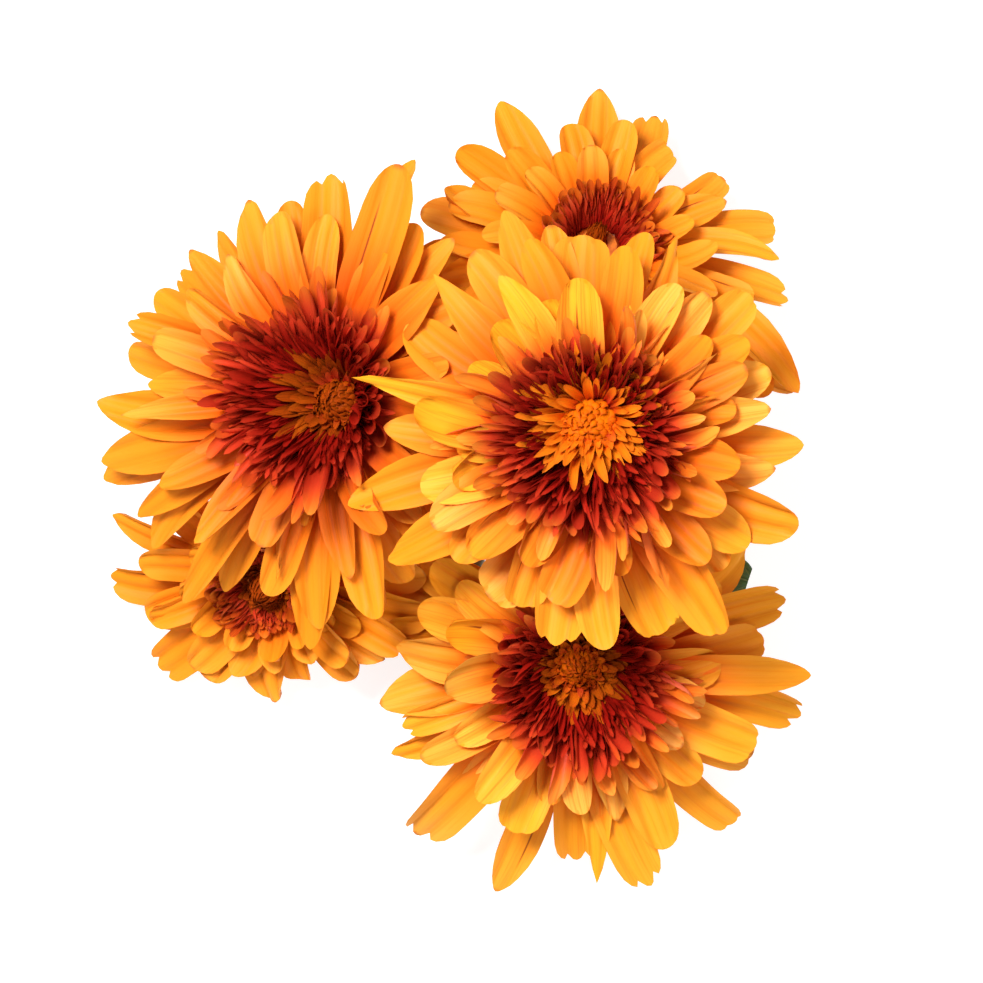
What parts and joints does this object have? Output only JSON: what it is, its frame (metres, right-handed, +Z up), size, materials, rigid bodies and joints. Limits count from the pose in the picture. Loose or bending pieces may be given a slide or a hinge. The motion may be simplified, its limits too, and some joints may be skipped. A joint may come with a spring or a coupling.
{
  "type": "chrysanthemum spray",
  "caption": "Cut chrysanthemum spray lying face up: crowded double flower heads with yellow and orange rays, dark red quilled florets and a gold eye, on a short branched leafy stem.",
  "frame": {"origin": "Centre of the bottom of the spray's bounding box, on the surface that it lies on.", "axes": "+Z up, out of the front flower's face; +Y towards the top flower, the longest way; +X to the right of someone looking down on the faces with +Y away from them."},
  "size_m": [0.119, 0.1348, 0.0667],
  "materials": {
    "yellow_ray": "satin",
    "orange_ray": "satin",
    "spoon": "satin",
    "quill": "satin",
    "eye": "matte",
    "calyx": "matte",
    "leaf": "matte",
    "stem": "satin"
  },
  "bodies": {
    "root": {"front_outer_rays": "yellow_ray", "front_inner_rays": "orange_ray", "front_middle_rays": "orange_ray", "front_spoon_florets": "spoon", "front_quill_florets": "quill", "front_eye": "eye", "front_receptacle": "calyx", "front_involucre": "calyx", "left_outer_rays": "yellow_ray", "left_inner_rays": "orange_ray", "left_middle_rays": "orange_ray", "left_spoon_florets": "spoon", "left_quill_florets": "quill", "left_eye": "eye", "left_receptacle": "calyx", "left_involucre": "calyx", "top_outer_rays": "yellow_ray", "top_inner_rays": "orange_ray", "top_middle_rays": "orange_ray", "top_spoon_florets": "spoon", "top_quill_florets": "quill", "top_eye": "eye", "top_receptacle": "calyx", "top_involucre": "calyx", "lower_outer_rays": "yellow_ray", "lower_inner_rays": "orange_ray", "lower_middle_rays": "orange_ray", "lower_spoon_florets": "spoon", "lower_quill_florets": "quill", "lower_eye": "eye", "lower_receptacle": "calyx", "lower_involucre": "calyx", "rear_outer_rays": "yellow_ray", "rear_inner_rays": "orange_ray", "rear_middle_rays": "orange_ray", "rear_spoon_florets": "spoon", "rear_quill_florets": "quill", "rear_eye": "eye", "rear_receptacle": "calyx", "rear_involucre": "calyx", "main_stem": "stem", "left_pedicel": "stem", "top_pedicel": "stem", "lower_pedicel": "stem", "rear_pedicel": "stem", "leaf_right": "leaf", "leaf_far_right": "leaf", "leaf_upper": "leaf", "leaf_left": "leaf", "leaf_lower_left": "leaf"}
  },
  "joints": []
}
